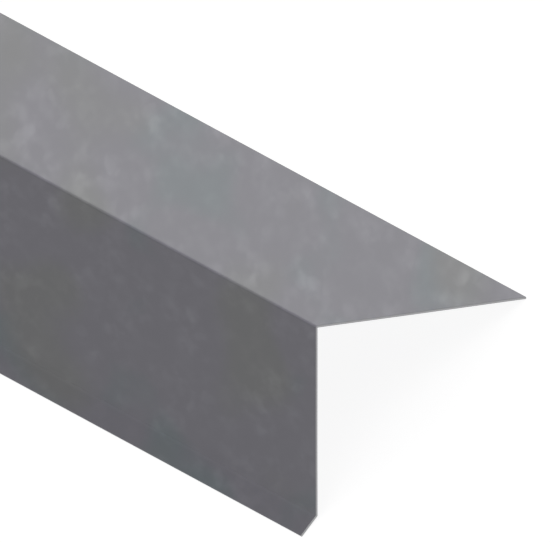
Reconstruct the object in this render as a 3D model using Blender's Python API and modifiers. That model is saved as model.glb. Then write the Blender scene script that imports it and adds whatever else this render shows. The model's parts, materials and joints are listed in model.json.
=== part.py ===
"""Drip edge flashing: one brake-formed strip of galvanised steel sheet.

The strip has a flange that lies on the roof deck, a leg that covers the deck's
edge and a short lip, kicked out at the leg's foot, that throws water clear.

Its section is drawn as it sits when fitted: the fold's outer corner at (0, 0),
the flange along +Y, the leg down along -Z and the lip out towards -Y. The strip
is then turned about X, because unheld it lies like a tent, on the flange's free
edge and on the lip. Units are metres. The origin is on the floor, midway along
the strip and midway between its two long edges.
"""

import math

import bmesh
import bpy

# Driving dimensions
LENGTH = 3.048  # 10 ft, the stock length
GAUGE = 0.00055  # 26 gauge sheet with its zinc coating
FLANGE_WIDTH = 0.0603  # fold corner to free edge, 2 3/8 in
LEG_HEIGHT = 0.0504  # fold corner to the lip's bend, on the front, nearly 2 in
LIP_WIDTH = 0.0065  # lip's bend to its cut edge, on the front, about 1/4 in
FOLD_ANGLE = math.radians(90.0)  # turn of the fold between flange and leg
LIP_ANGLE = math.radians(42.0)  # the lip's turn away from the leg
INSIDE_RADIUS = 0.0002  # inside radius of both bends
FOLD_SEGMENTS = 8  # flats round the fold
LIP_SEGMENTS = 4  # flats round the lip's bend

# Dull zinc grey, as seen
ZINC_FINISH = {
    "Base Color": (0.25, 0.25, 0.264, 1.0),
    "Roughness": 0.5,
    "Metallic": 1.0,
}

# Headings in the section, as angles from +Y towards +Z
FLANGE_HEADING = math.pi  # from the flange's free edge to the fold
LEG_HEADING = FLANGE_HEADING + FOLD_ANGLE  # from the fold to the lip's bend
LIP_HEADING = LEG_HEADING - LIP_ANGLE  # from the lip's bend to its cut edge
QUARTER_TURN = math.pi / 2


def step(point, heading, distance):
    """The point reached from another by going a distance along a heading."""
    return point[0] + distance * math.cos(heading), point[1] + distance * math.sin(heading)


def bend(start, heading, turn, radius, segments):
    """Points of an arc that leaves start along a heading and turns by an angle.

    The points lie on a circle of the radius, at equal angles. A positive turn is
    anticlockwise. The start itself is left out.
    """
    side = math.copysign(QUARTER_TURN, turn)
    centre = step(start, heading + side, radius)
    return [
        step(centre, heading - side + turn * i / segments, radius)
        for i in range(1, segments + 1)
    ]


def centreline():
    """The section's centreline, from the flange's free edge to the lip's.

    It runs straight, arc, straight, arc, straight. Each arc takes its tangent
    length from the straights beside it. The named sizes are on the outer side of
    the fold and on the inner side of the lip's bend, half a gauge away, so the
    centreline's corners lie a half gauge times the half turn's tangent beyond.
    """
    radius = INSIDE_RADIUS + GAUGE / 2
    fold_tangent = radius * math.tan(FOLD_ANGLE / 2)
    lip_tangent = radius * math.tan(LIP_ANGLE / 2)
    fold_shift = GAUGE / 2 * math.tan(FOLD_ANGLE / 2)
    lip_shift = GAUGE / 2 * math.tan(LIP_ANGLE / 2)

    fold_corner = (fold_shift, -GAUGE / 2)
    lip_corner = step(fold_corner, LEG_HEADING, LEG_HEIGHT - fold_shift + lip_shift)
    free_edge = step(fold_corner, FLANGE_HEADING, fold_shift - FLANGE_WIDTH)
    lip_edge = step(lip_corner, LIP_HEADING, LIP_WIDTH + lip_shift)

    fold_start = step(fold_corner, FLANGE_HEADING, -fold_tangent)
    lip_start = step(lip_corner, LEG_HEADING, -lip_tangent)
    fold = bend(fold_start, FLANGE_HEADING, FOLD_ANGLE, radius, FOLD_SEGMENTS)
    lip = bend(lip_start, LEG_HEADING, -LIP_ANGLE, radius, LIP_SEGMENTS)
    return [free_edge, fold_start, *fold, lip_start, *lip, lip_edge]


def cut_edge_corners(edge, heading):
    """Corners of the sheet at a cut edge: (weather side, under side)."""
    return tuple(step(edge, heading + side, GAUGE / 2) for side in (-QUARTER_TURN, QUARTER_TURN))


def turned(point, tilt):
    """A point of the section after the strip is tipped forward by the tilt."""
    y, z = point
    return y * math.cos(tilt) + z * math.sin(tilt), z * math.cos(tilt) - y * math.sin(tilt)


def rest_on_floor(sheet):
    """Tip the strip until the under side's two corners are level, then move it
    so that they lie on z = 0 with the long edges at equal distances from y = 0."""
    line = centreline()
    flange_top, flange_under = cut_edge_corners(line[0], FLANGE_HEADING)
    lip_front, lip_under = cut_edge_corners(line[-1], LIP_HEADING)
    tilt = math.atan2(flange_under[1] - lip_under[1], flange_under[0] - lip_under[0])
    middle = (turned(flange_top, tilt)[0] + turned(lip_front, tilt)[0]) / 2
    floor = turned(lip_under, tilt)[1]
    sheet.rotation_euler = (-tilt, 0.0, 0.0)
    sheet.location = (0.0, -middle, -floor)


def zinc_material():
    """Dull galvanised coating."""
    material = bpy.data.materials.new("galvanised_steel")
    material.use_nodes = True
    shader = material.node_tree.nodes["Principled BSDF"]
    for socket, value in ZINC_FINISH.items():
        shader.inputs[socket].default_value = value
    return material


def flashing_sheet(collection):
    """The strip: the centreline drawn out along X as an open surface, which is
    then given the gauge, half to each side."""
    shape = bmesh.new()
    points = [shape.verts.new((-LENGTH / 2, y, z)) for y, z in centreline()]
    edges = [shape.edges.new(pair) for pair in zip(points, points[1:])]
    drawn = bmesh.ops.extrude_edge_only(shape, edges=edges)["geom"]
    far_points = [item for item in drawn if isinstance(item, bmesh.types.BMVert)]
    bmesh.ops.translate(shape, verts=far_points, vec=(LENGTH, 0.0, 0.0))
    mesh = bpy.data.meshes.new("flashing_sheet")
    shape.to_mesh(mesh)
    shape.free()

    sheet = bpy.data.objects.new("flashing_sheet", mesh)
    collection.objects.link(sheet)
    sheet.data.materials.append(zinc_material())
    thickness = sheet.modifiers.new("sheet_gauge", "SOLIDIFY")
    thickness.thickness = GAUGE
    thickness.offset = 0.0
    thickness.use_even_offset = True
    thickness.use_rim = True
    return sheet


def clear_scene():
    """Remove the objects that the scene holds."""
    for obj in list(bpy.data.objects):
        bpy.data.objects.remove(obj, do_unlink=True)


def main():
    """Build the strip in a collection of its own and lay it down."""
    clear_scene()
    collection = bpy.data.collections.new("drip_edge_flashing")
    bpy.context.scene.collection.children.link(collection)
    rest_on_floor(flashing_sheet(collection))


main()
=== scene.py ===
"""A stock length of galvanised drip edge, lying unheld on a pale studio floor.

The strip is worked out as a flat blank with rolled-over cut edges, which is then
bent along the line of its section. Run as a script, the file forms the strip in
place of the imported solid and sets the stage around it.
"""

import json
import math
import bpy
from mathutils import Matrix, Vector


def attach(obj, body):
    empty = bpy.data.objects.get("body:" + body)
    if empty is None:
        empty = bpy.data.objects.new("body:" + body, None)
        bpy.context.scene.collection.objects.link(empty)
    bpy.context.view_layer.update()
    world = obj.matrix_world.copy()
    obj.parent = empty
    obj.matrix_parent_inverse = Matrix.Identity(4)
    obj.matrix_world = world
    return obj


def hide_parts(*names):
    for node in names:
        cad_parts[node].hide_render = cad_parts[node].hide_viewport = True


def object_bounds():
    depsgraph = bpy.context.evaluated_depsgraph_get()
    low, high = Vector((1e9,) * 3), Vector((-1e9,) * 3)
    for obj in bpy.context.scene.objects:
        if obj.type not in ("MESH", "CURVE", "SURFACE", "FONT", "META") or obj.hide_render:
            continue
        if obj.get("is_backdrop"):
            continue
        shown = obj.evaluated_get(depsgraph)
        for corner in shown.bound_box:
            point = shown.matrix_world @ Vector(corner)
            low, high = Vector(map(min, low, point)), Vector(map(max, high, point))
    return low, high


bl_info = {
    "name": "Drip Edge Flashing",
    "version": (1, 0, 0),
    "blender": (4, 5, 0),
    "location": "View3D > Sidebar > Drip Edge",
    "description": "Forms a galvanised drip edge in its packed frame and sets its stage",
    "category": "Add Mesh",
}

from typing import NamedTuple

import bmesh
import bpy
import numpy as np
from bpy.props import FloatProperty, FloatVectorProperty, PointerProperty
from bpy.types import Operator, Panel, PropertyGroup
from mathutils import Matrix, Vector

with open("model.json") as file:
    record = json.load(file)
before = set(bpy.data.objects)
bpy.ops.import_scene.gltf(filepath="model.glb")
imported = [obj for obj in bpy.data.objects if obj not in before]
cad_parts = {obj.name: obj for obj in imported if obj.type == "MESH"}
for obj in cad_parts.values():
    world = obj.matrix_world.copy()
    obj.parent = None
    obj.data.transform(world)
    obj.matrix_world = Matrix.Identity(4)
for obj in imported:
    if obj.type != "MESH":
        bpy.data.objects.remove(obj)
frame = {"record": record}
cad_low, cad_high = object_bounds()

NODE = "flashing_sheet"
QUARTER_TURN = math.pi / 2

# Grid of the strip
FLAT_STEPS = 14  # steps across the flange and across the leg
LIP_STEPS = 4  # steps across the lip
FOLD_STEPS = 14  # steps round the fold
LIP_BEND_STEPS = 8  # steps round the lip's bend
EDGE_STEPS = 3  # steps round each rolled-over corner of the cut edges
ROW_SPACING = 0.012  # between grid rows along the strip
SUPPORT = 0.00008  # from a bend or an edge to the first grid line beside it
WELD = 1e-6  # grid corners nearer to each other than this become one
BOX_TOLERANCE = 0.00005  # between the strip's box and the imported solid's

# Waves that thin sheet keeps: a long and a short one along the strip
LONG_WAVE = 19.0  # radians to the metre
SHORT_WAVE = 47.0  # radians to the metre
SHORT_SHARE = 0.5  # the short wave's height, of the long one's
LONG_SHIFT = 2.1  # of the long wave from one part of the section to the next, radians
SHORT_SLANT = 3.0  # of the short wave from one side of a flat to the other, radians

# The photograph and its camera
PHOTO_WIDTH = 551  # pixels
PHOTO_HEIGHT = 543  # pixels
CAMERA_DISTANCE = 1.0  # from the camera to the middle of its view
CAMERA_NEAR = 0.01  # the camera sees nothing nearer than this
CAMERA_FAR = 100.0  # nor farther than this


class Pattern(NamedTuple):
    """One noise in a surface, with lengths in metres."""

    size: float  # of its lumps
    detail: float = 1.0  # number of finer layers
    roughness: float = 0.5  # strength of each finer layer, of the one before
    moved: float = 0.0  # along all three axes, so that it doesn't follow another
    low: float = 0.0  # level of the noise at which its patches begin to show
    high: float = 1.0  # level at which they are full


CLOUDS = Pattern(size=0.011, moved=8.19, low=0.34, high=0.66)
WISPS = Pattern(size=0.004, detail=1.4, roughness=0.6, low=0.38, high=0.82)
GRAIN = Pattern(size=0.0006, detail=2.0)
COOL_PATCHES = Pattern(size=0.022, moved=7.64, low=0.55, high=0.70)
PLAIN_PATCHES = Pattern(size=0.034, moved=8.08, low=0.51, high=0.65)
SPECKS = Pattern(size=0.0004, detail=2.0)

# Spots in the coating, one to each cell
SPOT_SIZE = 0.006  # across a cell
SPOT_WANDER = 0.7  # how far noise shifts the spots' rims, in cells
SPOT_RIM = 0.44  # from a spot's middle to its rim, in cells
SPOT_CORE = 0.16  # from a spot's middle to where it is no longer full, in cells

# How the patterns add up
WISP_SHARE = 0.75  # of the wisps in the marks
SPOT_SHARE = 0.5  # of the spots in the marks
LOOSE_SHARE = 0.2  # of the marks that shows outside the clouds too
GROUND = 0.98  # the coating between the marks, of its written colour
CLOUD_SHADE = 0.015  # how much the clouds vary the colour
GRAIN_SHADE = 0.02  # how much the grain varies the colour
GRAIN_RELIEF = 0.12  # share of the grain's bumps that shows
GRAIN_HEIGHT = 0.00003  # height of the grain's bumps
SPECK_SHADE = 0.16  # how much the specks vary the bare steel's colour


class Lamp(NamedTuple):
    """One wide area lamp, with lengths in metres."""

    name: str
    place: tuple
    width: float
    height: float
    power: str  # the stage setting that gives it


# Lamps that face the strip's near end
END_LAMPS = (
    Lamp("key_lamp", (-3.5, 2.6, 1.3), 4.0, 2.5, "key_power"),
    Lamp("top_lamp", (-2.0, 0.8, 3.0), 4.0, 3.0, "top_power"),
    Lamp("fill_lamp", (-2.4, -2.0, 2.0), 3.0, 3.0, "fill_power"),
    Lamp("low_lamp", (-2.4, -3.0, 1.4), 3.0, 2.6, "low_power"),
)

# Lamps that face the strip's middle
MIDDLE_LAMPS = (
    Lamp("over_lamp", (0.3, -0.5, 3.5), 3.2, 3.2, "over_power"),
    Lamp("near_key_lamp", (3.2, 0.8, 3.4), 3.0, 3.0, "near_key_power"),
    Lamp("near_fill_lamp", (3.2, -2.4, 2.4), 3.0, 3.0, "near_fill_power"),
)


def record_mount(name):
    """(point, outward normal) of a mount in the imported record."""
    mount = next(m for m in frame["record"]["mounts"] if m["name"] == name)
    return Vector(mount["pos_m"]), Vector(mount["axis"])


def resting_tilt():
    """How far the strip is tipped forward from its fitted position, in which the
    flange is level: the angle of the flange's normal from the vertical."""
    normal = record_mount("shingle_face")[1]
    return math.atan2(normal.y, normal.z)


def fitted_to_world(vector):
    """A direction in the fitted strip's frame, turned as the strip lies."""
    return Matrix.Rotation(-resting_tilt(), 3, "X") @ Vector(vector)


def packed_gauge():
    """Sheet thickness: the distance between the flange's two faces."""
    top, normal = record_mount("shingle_face")
    return (top - record_mount("roof_deck_face")[0]).dot(normal)


def fold_place():
    """The fold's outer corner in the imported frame: where the plane of the
    flange's top face meets the plane of the leg's front face."""
    top, up = record_mount("shingle_face")
    back, inward = record_mount("fascia_face")
    front = back - inward * packed_gauge()
    return up * up.dot(top) + inward * inward.dot(front)


class FlashingSizes(PropertyGroup):
    """Sizes of the strip, measured on its section as fitted."""

    length: FloatProperty(
        name="Length", description="Stock length of the strip",
        default=cad_high.x - cad_low.x, unit="LENGTH")
    gauge: FloatProperty(
        name="Gauge", description="Thickness of the sheet with its zinc",
        default=round(packed_gauge(), 6), unit="LENGTH")
    flange_width: FloatProperty(
        name="Flange width", description="Fold corner to the flange's free edge",
        default=0.0603, unit="LENGTH")
    leg_height: FloatProperty(
        name="Leg height", description="Fold corner to the lip's bend, on the front",
        default=0.0504, unit="LENGTH")
    lip_width: FloatProperty(
        name="Lip width", description="Lip's bend to the lip's cut edge, on the front",
        default=0.0065, unit="LENGTH")
    fold_angle: FloatProperty(
        name="Fold angle", description="Turn of the fold between flange and leg",
        default=math.radians(90.0), subtype="ANGLE")
    lip_angle: FloatProperty(
        name="Lip angle", description="Turn of the lip away from the leg",
        default=math.radians(42.0), subtype="ANGLE")
    inside_radius: FloatProperty(
        name="Inside radius", description="Inside radius of both bends",
        default=0.0002, unit="LENGTH")
    edge_radius: FloatProperty(
        name="Edge radius", description="Roll-over that the shear leaves on cut edges",
        default=0.00005, unit="LENGTH")
    wave_height: FloatProperty(
        name="Wave height", description="How far the flats stray from a true plane",
        default=0.00006, unit="LENGTH")


class ZincFinish(PropertyGroup):
    """Colours and finish of the galvanised coating and of the bare cut edges, and the light
    painted onto the coating near its bends.
    """

    zinc: FloatVectorProperty(
        name="Zinc", description="Coating over most of the strip",
        default=(0.238, 0.2325, 0.263), subtype="COLOR")
    cool: FloatVectorProperty(
        name="Cool tint", description="Patches where the coating turns blue green",
        default=(0.208, 0.233, 0.252), subtype="COLOR")
    plain: FloatVectorProperty(
        name="Plain tint", description="Patches where the coating is neutral grey",
        default=(0.232, 0.233, 0.238), subtype="COLOR")
    bloom: FloatProperty(
        name="Bloom", description="How much paler the wisps and spots in the coating are",
        default=0.215, min=0.0, max=1.0)
    bloom_polish: FloatProperty(
        name="Bloom polish", description="How much less rough the wisps and spots are",
        default=0.028, min=0.0, max=1.0)
    # Painted light: the coating is painted paler low on the leg, over the shade above the lip's
    # bend.
    painted_light: FloatProperty(
        name="Rub", description="How much paler the coating is rubbed low on the leg",
        default=0.145, min=0.0, max=1.0)
    painted_light_width: FloatProperty(
        name="Rub width", description="How far up the leg the rubbed coating reaches",
        default=0.015, unit="LENGTH")
    # Painted highlight: a pale line along the fold.
    fold_painted_light: FloatProperty(
        name="Fold rub", description="How much paler the coating is rubbed along the fold",
        default=0.25, min=0.0, max=1.0)
    fold_painted_light_width: FloatProperty(
        name="Fold rub width", description="How far from that line the rubbed coating reaches",
        default=0.0006, unit="LENGTH")
    # Painted light: a pale line along the lip's bend, over the dark crease that shade leaves
    # there.
    bend_painted_light: FloatProperty(
        name="Bend rub", description="How much paler the coating is along the lip's bend",
        default=0.06, min=0.0, max=1.0)
    bend_painted_light_width: FloatProperty(
        name="Bend rub width", description="How far from that line the rubbed coating reaches",
        default=0.0013, unit="LENGTH")
    drawn_out: FloatProperty(
        name="Drawn out", description="How many times longer than wide the patterns are",
        default=6.0, min=1.0)
    drawn_turn: FloatProperty(
        name="Drawn turn", description="Turn of the drawn-out patterns from the strip's length",
        default=math.radians(-15.0), subtype="ANGLE")
    drawn_rise: FloatProperty(
        name="Drawn rise", description="Rise of the drawn-out patterns from the floor's plane",
        default=math.radians(24.0), subtype="ANGLE")
    roughness: FloatProperty(
        name="Roughness", description="Roughness of the dull coating",
        default=0.37, min=0.0, max=1.0)
    cut_steel: FloatVectorProperty(
        name="Cut steel", description="Bare steel on the sheared edges",
        default=(0.37, 0.37, 0.38), subtype="COLOR")
    cut_roughness: FloatProperty(
        name="Cut roughness", description="Roughness of the sheared edges",
        default=0.38, min=0.0, max=1.0)


class StageSettings(PropertyGroup):
    """Floor, light and camera."""

    floor_size: FloatProperty(
        name="Floor size", description="Side of the square floor",
        default=40.0, unit="LENGTH")
    floor_color: FloatVectorProperty(
        name="Floor", description="Pale floor, as the strip is lit by it",
        default=(0.80, 0.80, 0.80), subtype="COLOR")
    floor_glow: FloatProperty(
        name="Floor glow", description="Share of the floor's white that shadows can't take",
        default=0.90)
    floor_shade: FloatProperty(
        name="Floor shade", description="Colour of the part of the floor that shadows darken",
        default=0.265)
    sky: FloatProperty(
        name="Sky", description="Strength of the even light from all round",
        default=0.154)
    key_power: FloatProperty(
        name="Key", description="Lamp past the far end, on the flange's side",
        default=23.8, unit="POWER")
    top_power: FloatProperty(
        name="Top", description="Lamp high over the far end",
        default=12.9, unit="POWER")
    fill_power: FloatProperty(
        name="Fill", description="Lamp past the far end, on the leg's side",
        default=10.1, unit="POWER")
    low_power: FloatProperty(
        name="Low", description="Lamp lower down past the far end, farther out on the leg's side",
        default=1.5, unit="POWER")
    over_power: FloatProperty(
        name="Over", description="Lamp straight above the strip's middle",
        default=22.0, unit="POWER")
    near_key_power: FloatProperty(
        name="Near key", description="Lamp high past the near end, on the flange's side",
        default=28.0, unit="POWER")
    near_fill_power: FloatProperty(
        name="Near fill", description="Lamp past the near end, on the leg's side",
        default=10.0, unit="POWER")
    view_azimuth: FloatProperty(
        name="View azimuth", description="Camera's turn from the fitted strip's front",
        default=math.radians(63.24), subtype="ANGLE")
    view_elevation: FloatProperty(
        name="View elevation", description="Camera's height above the fitted flange's plane",
        default=math.radians(15.82), subtype="ANGLE")
    view_pixel: FloatProperty(
        name="View pixel", description="Real size of one pixel of the photograph",
        default=0.001 / 3.9105, precision=6, unit="LENGTH")
    corner_across: FloatProperty(
        name="Corner across", description="Fold's near corner, in pixels from the photo's left",
        default=315.72)
    corner_down: FloatProperty(
        name="Corner down", description="Fold's near corner, in pixels from the photo's top",
        default=325.87)


def flats_and_bends(sizes):
    """The section's centreline as (length, turn, steps), from the flange's free
    edge to the lip's.

    A bend of turn A takes its tangent length, radius times tan(A/2), from the
    flats beside it. The sizes are on the outer side of the fold and the inner
    side of the lip's bend, half a gauge off the centreline, which shifts each
    corner by half a gauge times tan(A/2).
    """
    radius = sizes.inside_radius + sizes.gauge / 2
    fold_tan = math.tan(sizes.fold_angle / 2)
    lip_tan = math.tan(sizes.lip_angle / 2)
    fold_loss = (radius + sizes.gauge / 2) * fold_tan
    lip_loss = (radius - sizes.gauge / 2) * lip_tan
    return (
        (sizes.flange_width - fold_loss, 0.0, FLAT_STEPS),
        (radius * sizes.fold_angle, sizes.fold_angle, FOLD_STEPS),
        (sizes.leg_height - fold_loss - lip_loss, 0.0, FLAT_STEPS),
        (radius * sizes.lip_angle, -sizes.lip_angle, LIP_BEND_STEPS),
        (sizes.lip_width - lip_loss, 0.0, LIP_STEPS),
    )


def centreline(along, sizes):
    """Point (y, z) and heading of the section's centreline at distances along it.

    Each flat or bend adds the chord of what has been travelled of it: its length
    times sin(h)/h along the mean heading, where h is half the turn so far.
    """
    start = np.array([sizes.flange_width, -sizes.gauge / 2])
    point = np.broadcast_to(start, along.shape + (2,)).copy()
    heading = np.full(along.shape, math.pi)
    begun, first_heading = 0.0, math.pi
    for length, turn, _ in flats_and_bends(sizes):
        gone = np.clip(along - begun, 0.0, length)
        half = turn * gone / length / 2
        chord = gone * np.sinc(half / math.pi)
        mean = first_heading + half
        point += chord[..., None] * np.stack([np.cos(mean), np.sin(mean)], axis=-1)
        heading += 2 * half
        begun += length
        first_heading += turn
    return point, heading


def section_stations(sizes):
    """Distances along the centreline of the grid's lines: even round the bends,
    and across a flat closer towards its ends, by a half cosine."""
    stations = []
    begun = 0.0
    for length, turn, steps in flats_and_bends(sizes):
        share = np.linspace(0.0, 1.0, steps + 1)
        if turn:
            lines = length * share[:-1]
        else:
            inner = SUPPORT + (length - 2 * SUPPORT) * (1 - np.cos(math.pi * share)) / 2
            lines = np.concatenate([[0.0], inner])
        stations.append(begun + lines)
        begun += length
    lines = np.concatenate(stations + [[begun]])
    lines[0] += sizes.edge_radius
    lines[-1] -= sizes.edge_radius
    return lines


def sheet_waves(x, along, sizes):
    """How far the sheet strays from true: a long and a short wave along the strip
    on each flat, fading to nothing at its bends and edges as a squared sine."""
    height = np.zeros(np.broadcast(x, along).shape)
    begun = 0.0
    for part, (length, turn, _) in enumerate(flats_and_bends(sizes)):
        if not turn:
            share = np.clip((along - begun) / length, 0.0, 1.0)
            long_wave = np.sin(x * LONG_WAVE + part * LONG_SHIFT)
            short_wave = np.sin(x * SHORT_WAVE + part + share * SHORT_SLANT)
            waves = long_wave + short_wave * SHORT_SHARE
            height += waves * np.sin(math.pi * share) ** 2
        begun += length
    return height * sizes.wave_height / (1.0 + SHORT_SHARE)


def blank_loop(sizes):
    """The blank's outline in section, as core point and outward direction.

    The core is the sheet less its edge radius all round. The outline runs along
    the weather side to the lip, round the cut edge, back along the under side and
    round the free edge. Returned: station and side of the core point, and the
    direction as an angle, 0 towards the lip and a quarter turn to the weather.
    """
    stations = section_stations(sizes)
    side = sizes.gauge / 2 - sizes.edge_radius
    falling = np.linspace(QUARTER_TURN, 0.0, EDGE_STEPS + 1)
    last, first = stations[-1], stations[0]
    flat, corner = np.ones(len(stations)), np.ones(EDGE_STEPS)
    core = np.concatenate([
        stations, last * corner, last * corner,
        stations[::-1], first * corner, first * corner])
    offset = side * np.concatenate([flat, corner, -corner, -flat, -corner, corner])
    angle = np.concatenate([
        QUARTER_TURN * flat, falling[1:], falling[:-1] - QUARTER_TURN,
        -QUARTER_TURN * flat, falling[1:] - math.pi, falling[:-1] + QUARTER_TURN])
    return core, offset, angle


def strip_rows(sizes):
    """The rows along the strip, as core place and rise of the end's roll-over:
    up to a quarter turn outwards at each end and none between."""
    half = sizes.length / 2 - sizes.edge_radius
    turn = np.linspace(0.0, QUARTER_TURN, EDGE_STEPS + 1)[1:]
    steps = round(2 * half / ROW_SPACING)
    inner = np.linspace(SUPPORT - half, half - SUPPORT, steps + 1)
    core = np.concatenate([
        np.full(EDGE_STEPS, -half), [-half], inner, [half], np.full(EDGE_STEPS, half)])
    rise = np.concatenate([-turn[::-1], np.zeros(steps + 3), turn])
    return core, rise


def strip_points(sizes):
    """Corners of the strip's grid, rows by outline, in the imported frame.

    A point of the blank is its core point plus the edge radius times a unit
    direction: the outline's own direction times cos(rise), and sin(rise) along
    the strip. Its station and side then place it across the bent centreline,
    which is tipped forward by the resting tilt.
    """
    core, offset, angle = blank_loop(sizes)
    row_core, rise = strip_rows(sizes)
    reach = sizes.edge_radius * np.cos(rise)[:, None]
    along = core + reach * np.cos(angle)
    row_x = row_core + sizes.edge_radius * np.sin(rise)
    x = np.broadcast_to(row_x[:, None], along.shape)
    side = offset + reach * np.sin(angle) + sheet_waves(x, along, sizes)
    point, heading = centreline(along, sizes)
    weather = heading - QUARTER_TURN
    y = point[..., 0] + side * np.cos(weather)
    z = point[..., 1] + side * np.sin(weather)
    tilt, corner = resting_tilt(), fold_place()
    world_y = y * math.cos(tilt) + z * math.sin(tilt) + corner.y
    world_z = z * math.cos(tilt) - y * math.sin(tilt) + corner.z
    return np.stack([x, world_y, world_z], axis=-1)


def strip_faces(rows, columns, stations):
    """Faces of the grid: quads between the rows round the closed outline, and a
    ladder of quads across each end. Also which of them are bare: the cut faces,
    and at both ends their roll-over too."""
    row, column = np.meshgrid(np.arange(rows - 1), np.arange(columns), indexing="ij")
    after = (column + 1) % columns
    walls = np.stack([
        row * columns + column, row * columns + after,
        (row + 1) * columns + after, (row + 1) * columns + column], axis=-1)
    rung = np.arange(stations - 1)
    facing = stations + 2 * EDGE_STEPS + (stations - 1 - rung)
    ladder = np.stack([rung, rung + 1, facing - 1, facing], axis=-1)
    far_end = (rows - 1) * columns
    faces = np.concatenate([walls.reshape(-1, 4), ladder, ladder + far_end])
    lip_cut = stations + EDGE_STEPS - 1
    free_cut = 2 * stations + 3 * EDGE_STEPS - 1
    bare = (column == lip_cut) | (column == free_cut)
    bare |= (row < EDGE_STEPS) | (row >= rows - 1 - EDGE_STEPS)
    bare = np.concatenate([bare.ravel(), np.ones(2 * len(rung), bool)])
    return faces, bare


def sheet_mesh(sizes):
    """The strip's closed mesh, welded at its corners, with faces outwards."""
    points = strip_points(sizes)
    rows, columns = points.shape[:2]
    faces, bare = strip_faces(rows, columns, len(section_stations(sizes)))
    mesh = bpy.data.meshes.new("drip_edge_strip")
    mesh.from_pydata(points.reshape(-1, 3).tolist(), [], faces.tolist())
    mesh.polygons.foreach_set("material_index", bare.astype(np.int32))
    shape = bmesh.new()
    shape.from_mesh(mesh)
    bmesh.ops.remove_doubles(shape, verts=shape.verts[:], dist=WELD)
    bmesh.ops.recalc_face_normals(shape, faces=shape.faces[:])
    shape.to_mesh(mesh)
    shape.free()
    mesh.shade_smooth()
    return mesh


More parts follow.
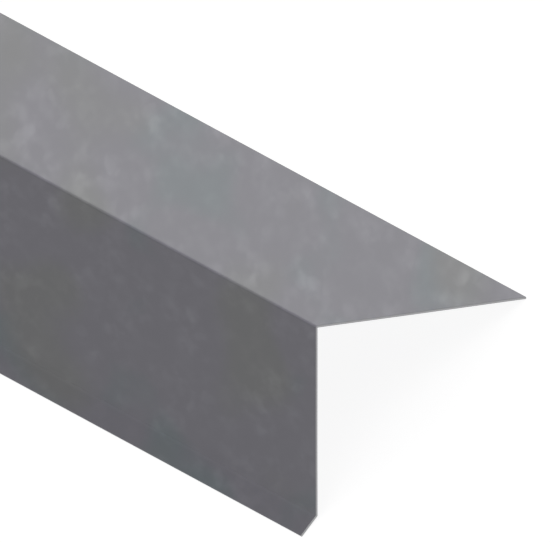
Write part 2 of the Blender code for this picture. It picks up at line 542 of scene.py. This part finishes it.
class NodeBench:
    """Adds and links the nodes of one material, laid out from left to right."""

    LEFT = -1600  # where the first node lies in the editor
    STEP = 180  # from each node to the next

    def __init__(self, name):
        self.material = bpy.data.materials.new(name)
        self.material.use_nodes = True
        self.tree = self.material.node_tree
        self.tree.nodes.clear()
        self.count = 0

    def add(self, kind, **settings):
        """A node of a kind, with its settings."""
        node = self.tree.nodes.new(kind)
        node.location = (self.LEFT + self.count * self.STEP, 0)
        self.count += 1
        for key, value in settings.items():
            setattr(node, key, value)
        return node

    def feed(self, node, **sources):
        """Link or set the inputs of a node. A key is the socket's name with _ for
        a space, or in_ and its number."""
        for key, source in sources.items():
            name = key.replace("_", " ")
            socket = node.inputs[int(key[3:])] if key.startswith("in_") else node.inputs[name]
            if isinstance(source, bpy.types.NodeSocket):
                self.tree.links.new(source, socket)
            else:
                socket.default_value = source
        return node

    def reckon(self, operation, first, second):
        """One operation on two values."""
        node = self.add("ShaderNodeMath", operation=operation)
        return self.feed(node, in_0=first, in_1=second).outputs["Value"]

    def times(self, value, factor):
        """A value times a factor."""
        return self.reckon("MULTIPLY", value, factor)

    def total(self, first, *others):
        """The sum of some values."""
        for value in others:
            first = self.reckon("ADD", first, value)
        return first

    def swing(self, value, share):
        """A value's swing about a half, times a share."""
        return self.times(self.reckon("SUBTRACT", value, 0.5), share)

    def ramp(self, value, low, high, least=0.0):
        """Smooth step of a value from the least at low to 1 at high."""
        node = self.add("ShaderNodeMapRange", interpolation_type="SMOOTHSTEP")
        self.feed(node, in_0=value, in_1=low, in_2=high, in_3=least, in_4=1.0)
        return node.outputs["Result"]

    def mix(self, factor, first, second):
        """Colour between two colours."""
        node = self.add("ShaderNodeMix", data_type="RGBA")
        self.feed(node, in_0=factor, in_6=first, in_7=second)
        return node.outputs[2]

    def shaded(self, color, level):
        """A colour times a level."""
        node = self.add("ShaderNodeVectorMath", operation="SCALE")
        return self.feed(node, in_0=color, Scale=level).outputs["Vector"]

    def object_place(self):
        """Object coordinates, in metres."""
        return self.add("ShaderNodeTexCoord").outputs["Object"]

    def drawn_out_place(self, finish):
        """Object coordinates shrunk along the direction in which the coating's
        patterns are drawn out: the strip's length, raised and then turned."""
        mapping = self.add("ShaderNodeMapping", vector_type="TEXTURE")
        turn = (0.0, -finish.drawn_rise, finish.drawn_turn)
        self.feed(mapping, Vector=self.object_place(), Rotation=turn,
                  Scale=(finish.drawn_out, 1.0, 1.0))
        return mapping.outputs["Vector"]

    def noise(self, place, pattern):
        """A pattern's soft noise, about a half on average."""
        if pattern.moved:
            shift = self.add("ShaderNodeVectorMath", operation="ADD")
            self.feed(shift, in_0=place, in_1=(pattern.moved,) * 3)
            place = shift.outputs["Vector"]
        node = self.add("ShaderNodeTexNoise", normalize=True)
        self.feed(node, Vector=place, Scale=1.0 / pattern.size, Detail=pattern.detail,
                  Roughness=pattern.roughness)
        return node.outputs["Fac"]

    def patches(self, place, pattern):
        """Where a pattern shows, from 0 to 1."""
        return self.ramp(self.noise(place, pattern), pattern.low, pattern.high)

    def spots(self, place):
        """Ragged spots, one to each cell: 1 in the middle of a spot, falling smoothly
        to 0 at its rim. The noise that makes them ragged has lumps half as large."""
        wander = self.add("ShaderNodeTexNoise", normalize=True)
        self.feed(wander, Vector=place, Scale=2.0 / SPOT_SIZE, Detail=1.0)
        ragged = self.add("ShaderNodeVectorMath", operation="MULTIPLY_ADD")
        self.feed(ragged, in_0=wander.outputs["Color"], in_1=(SPOT_WANDER * SPOT_SIZE,) * 3,
                  in_2=place)
        cells = self.add("ShaderNodeTexVoronoi", feature="F1")
        self.feed(cells, Vector=ragged.outputs["Vector"], Scale=1.0 / SPOT_SIZE)
        return self.ramp(cells.outputs["Distance"], SPOT_RIM, SPOT_CORE)

    def above_lip(self, sizes, finish):
        """How near a place on the leg is to the lip's bend: 0 at the painted light's width
        above it and 1 at the bend, rising as a cube, and 0 on the lip."""
        down = fitted_to_world((0.0, 0.0, -1.0))
        bend = fold_place().dot(down) + sizes.leg_height
        dot = self.add("ShaderNodeVectorMath", operation="DOT_PRODUCT")
        self.feed(dot, in_0=self.object_place(), in_1=down)
        depth = dot.outputs["Value"]
        near = self.add("ShaderNodeMapRange", interpolation_type="LINEAR")
        self.feed(near, in_0=depth, in_1=bend - finish.painted_light_width, in_2=bend, in_3=0.0, in_4=1.0)
        cube = self.reckon("POWER", near.outputs["Result"], 3.0)
        return self.times(cube, self.reckon("LESS_THAN", depth, bend))

    def near_line(self, line, width, core):
        """How near a place is to a line along the strip, given as a point in the
        fitted strip's frame: smoothly from 0 at the width to 1 at the core."""
        apart = self.add("ShaderNodeVectorMath", operation="SUBTRACT")
        self.feed(apart, in_0=self.object_place(), in_1=fold_place() + fitted_to_world(line))
        across = self.add("ShaderNodeVectorMath", operation="MULTIPLY")
        self.feed(across, in_0=apart.outputs["Vector"], in_1=(0.0, 1.0, 1.0))
        reach = self.add("ShaderNodeVectorMath", operation="LENGTH")
        self.feed(reach, in_0=across.outputs["Vector"])
        return self.ramp(reach.outputs["Value"], width, core)

    def painted_lighter(self, sizes, finish):
        """How much paler painted light makes the coating: low on the leg and along the
        lip's bend, over the shade near that bend, and as a painted highlight along the fold.
        The two lines lie a quarter of their width in from the corners, on the leg and on the
        flange."""
        wide, narrow = finish.bend_painted_light_width, finish.fold_painted_light_width
        # Painted light over the shade along the lip's bend.
        bend = self.near_line((0.0, 0.0, wide / 4 - sizes.leg_height), wide, 0.0)
        # Painted highlight along the fold.
        fold = self.near_line((0.0, narrow / 4, 0.0), narrow, narrow / 2)
        return self.total(
            self.times(bend, finish.bend_painted_light),
            self.times(fold, finish.fold_painted_light),
            # Painted light, paler low on the leg over the shade there.
            self.times(self.above_lip(sizes, finish), finish.painted_light))

    def surface(self, shader):
        """Send a shader to the material's surface."""
        out = self.add("ShaderNodeOutputMaterial")
        self.tree.links.new(shader, out.inputs["Surface"])
        return self.material


def opaque(color):
    """A colour with full alpha."""
    return (*color, 1.0)


def zinc_material(sizes, finish):
    """Dull galvanised coating: violet grey zinc, with paler and smoother wisps and
    spots that gather in clouds, and wide patches of other tints.

    The patterns are drawn out along one direction, a little askew of the strip.
    Painted light makes the coating paler low on the leg and along the lip's bend, over the shade
    near that bend, and a painted highlight runs along the fold.
    """
    bench = NodeBench("galvanised_zinc")
    place = bench.drawn_out_place(finish)
    clouds = bench.noise(place, CLOUDS)
    grain = bench.noise(place, GRAIN)
    marks = bench.total(
        bench.times(bench.patches(place, WISPS), WISP_SHARE),
        bench.times(bench.spots(place), SPOT_SHARE))
    bloom = bench.times(marks, bench.ramp(clouds, CLOUDS.low, CLOUDS.high, LOOSE_SHARE))
    cool = bench.patches(place, COOL_PATCHES)
    plain = bench.patches(place, PLAIN_PATCHES)
    base = bench.mix(cool, opaque(finish.zinc), opaque(finish.cool))
    base = bench.mix(plain, base, opaque(finish.plain))
    level = bench.total(
        bench.times(bloom, finish.bloom),
        bench.swing(clouds, CLOUD_SHADE),
        # Painted light near the bends: paler low on the leg, along the lip's bend and along the
        # fold.
        bench.painted_lighter(sizes, finish),
        GROUND,
        bench.swing(grain, GRAIN_SHADE))
    rough = bench.reckon("SUBTRACT", finish.roughness, bench.times(bloom, finish.bloom_polish))
    bump = bench.add("ShaderNodeBump")
    bench.feed(bump, Height=grain, Strength=GRAIN_RELIEF, Distance=GRAIN_HEIGHT)
    shader = bench.add("ShaderNodeBsdfPrincipled")
    bench.feed(shader, Base_Color=bench.shaded(base, level), Metallic=1.0, Roughness=rough,
               Normal=bump.outputs["Normal"])
    return bench.surface(shader.outputs["BSDF"])


def cut_steel_material(finish):
    """Bare steel of the sheared edges, finely speckled."""
    bench = NodeBench("cut_steel")
    specks = bench.noise(bench.object_place(), SPECKS)
    level = bench.total(1.0, bench.swing(specks, SPECK_SHADE))
    shader = bench.add("ShaderNodeBsdfPrincipled")
    bench.feed(shader, Base_Color=bench.shaded(tuple(finish.cut_steel), level), Metallic=1.0,
               Roughness=finish.cut_roughness)
    return bench.surface(shader.outputs["BSDF"])


def floor_material(stage):
    """Pale floor. Camera, glossy and transmission rays see it near white: part of
    that is its own glow, and the rest is shade that the strip's shadow darkens."""
    bench = NodeBench("pale_floor")
    path = bench.add("ShaderNodeLightPath")
    seen = bench.reckon("MAXIMUM", path.outputs["Is Camera Ray"],
                        bench.reckon("MAXIMUM", path.outputs["Is Glossy Ray"],
                                     path.outputs["Is Transmission Ray"]))
    plain = bench.add("ShaderNodeBsdfDiffuse")
    bench.feed(plain, Color=opaque(stage.floor_color))
    shade = bench.add("ShaderNodeBsdfDiffuse")
    bench.feed(shade, Color=opaque([stage.floor_shade] * 3))
    glow = bench.add("ShaderNodeEmission")
    bench.feed(glow, Strength=stage.floor_glow)
    white = bench.add("ShaderNodeAddShader")
    bench.feed(white, in_0=shade.outputs["BSDF"], in_1=glow.outputs["Emission"])
    mixed = bench.add("ShaderNodeMixShader")
    bench.feed(mixed, in_0=seen, in_1=plain.outputs["BSDF"], in_2=white.outputs["Shader"])
    return bench.surface(mixed.outputs["Shader"])


def add_object(name, data):
    """An object with its data, linked to the scene."""
    obj = bpy.data.objects.new(name, data)
    bpy.context.scene.collection.objects.link(obj)
    return obj


def add_floor(stage):
    """The square floor that the strip lies on."""
    half = stage.floor_size / 2
    corners = [(-half, -half, 0.0), (half, -half, 0.0), (half, half, 0.0), (-half, half, 0.0)]
    mesh = bpy.data.meshes.new("studio_floor")
    mesh.from_pydata(corners, [], [(0, 1, 2, 3)])
    mesh.materials.append(floor_material(stage))
    add_object("studio_floor", mesh)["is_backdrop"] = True


def add_lamp(lamp, target, power):
    """A wide area lamp that faces its target and that the camera doesn't see."""
    data = bpy.data.lights.new(lamp.name, "AREA")
    data.shape = "RECTANGLE"
    data.size = lamp.width
    data.size_y = lamp.height
    data.energy = power
    obj = add_object(lamp.name, data)
    aim = (target - Vector(lamp.place)).to_track_quat("-Z", "Y")
    obj.matrix_world = Matrix.Translation(lamp.place) @ aim.to_matrix().to_4x4()
    obj.visible_camera = False


def set_sky(stage):
    """Even white light from all round. In the photo's view the floor hides it."""
    world = bpy.data.worlds.new("studio_sky")
    world.use_nodes = True
    back = world.node_tree.nodes["Background"]
    back.inputs["Color"].default_value = (1.0, 1.0, 1.0, 1.0)
    back.inputs["Strength"].default_value = stage.sky
    bpy.context.scene.world = world


def add_camera(sizes, stage):
    """Parallel view of the photograph, fixed to the strip: the camera turns with
    it from its fitted position to the way it lies."""
    azimuth, elevation = stage.view_azimuth, stage.view_elevation
    right = Vector((math.cos(azimuth), math.sin(azimuth), 0.0))
    back = Vector((math.sin(azimuth) * math.cos(elevation),
                   -math.cos(azimuth) * math.cos(elevation), math.sin(elevation)))
    right, back = fitted_to_world(right), fitted_to_world(back)
    up = back.cross(right)
    near_corner = fold_place() + Vector((sizes.length / 2, 0.0, 0.0))
    across = (PHOTO_WIDTH / 2 - stage.corner_across) * stage.view_pixel
    down = (PHOTO_HEIGHT / 2 - stage.corner_down) * stage.view_pixel
    centre = near_corner + right * across - up * down
    data = bpy.data.cameras.new("photo_camera")
    data.type = "ORTHO"
    data.ortho_scale = PHOTO_WIDTH * stage.view_pixel
    data.clip_start = CAMERA_NEAR
    data.clip_end = CAMERA_FAR
    camera = add_object("photo_camera", data)
    turn = Matrix((right, up, back)).transposed()
    place = centre + back * CAMERA_DISTANCE
    camera.matrix_world = Matrix.Translation(place) @ turn.to_4x4()
    bpy.context.scene.camera = camera


class FLASHING_OT_form_strip(Operator):
    """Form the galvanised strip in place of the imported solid"""

    bl_idname = "flashing.form_strip"
    bl_label = "Form Strip"

    def execute(self, context):
        sizes = context.scene.flashing_sizes
        finish = context.scene.flashing_finish
        mesh = sheet_mesh(sizes)
        mesh.materials.append(zinc_material(sizes, finish))
        mesh.materials.append(cut_steel_material(finish))
        strip = add_object("drip_edge_strip", mesh)
        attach(strip, "root")
        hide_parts(NODE)
        return {"FINISHED"}


class FLASHING_OT_set_stage(Operator):
    """Set the floor, the lamps, the sky and the camera"""

    bl_idname = "flashing.set_stage"
    bl_label = "Set Stage"

    def execute(self, context):
        sizes = context.scene.flashing_sizes
        stage = context.scene.flashing_stage
        near_end = Vector((sizes.length / 2, 0.0, 0.0))
        middle = Vector((0.0, 0.0, 0.0))
        add_floor(stage)
        for lamps, target in ((END_LAMPS, near_end), (MIDDLE_LAMPS, middle)):
            for lamp in lamps:
                add_lamp(lamp, target, getattr(stage, lamp.power))
        set_sky(stage)
        add_camera(sizes, stage)
        context.scene.view_settings.view_transform = "Standard"
        return {"FINISHED"}


class FLASHING_PT_panel(Panel):
    """Drip edge settings"""

    bl_idname = "FLASHING_PT_panel"
    bl_label = "Drip Edge"
    bl_space_type = "VIEW_3D"
    bl_region_type = "UI"
    bl_category = "Drip Edge"

    def draw(self, context):
        scene = context.scene
        for group in (scene.flashing_sizes, scene.flashing_finish, scene.flashing_stage):
            box = self.layout.box()
            for name in group.__annotations__:
                box.prop(group, name)
        self.layout.operator("flashing.form_strip")
        self.layout.operator("flashing.set_stage")


CLASSES = (
    FlashingSizes,
    ZincFinish,
    StageSettings,
    FLASHING_OT_form_strip,
    FLASHING_OT_set_stage,
    FLASHING_PT_panel,
)


def register():
    """Register the classes and hang their settings on the scene."""
    for cls in CLASSES:
        bpy.utils.register_class(cls)
    bpy.types.Scene.flashing_sizes = PointerProperty(type=FlashingSizes)
    bpy.types.Scene.flashing_finish = PointerProperty(type=ZincFinish)
    bpy.types.Scene.flashing_stage = PointerProperty(type=StageSettings)


def unregister():
    """Undo register."""
    del bpy.types.Scene.flashing_stage
    del bpy.types.Scene.flashing_finish
    del bpy.types.Scene.flashing_sizes
    for cls in reversed(CLASSES):
        bpy.utils.unregister_class(cls)


def write_sizes():
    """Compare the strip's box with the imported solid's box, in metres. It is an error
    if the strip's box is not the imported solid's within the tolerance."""
    low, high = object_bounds()
    gap = np.abs(np.subtract([*low, *high], [*cad_low, *cad_high])).max()
    if gap > BOX_TOLERANCE:
        raise ValueError(f"the strip's box is {gap * 1000:.3f} mm off the packed solid's")


def main():
    """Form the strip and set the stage."""
    register()
    bpy.ops.flashing.form_strip()
    bpy.ops.flashing.set_stage()
    write_sizes()


if __name__ == "__main__":
    main()
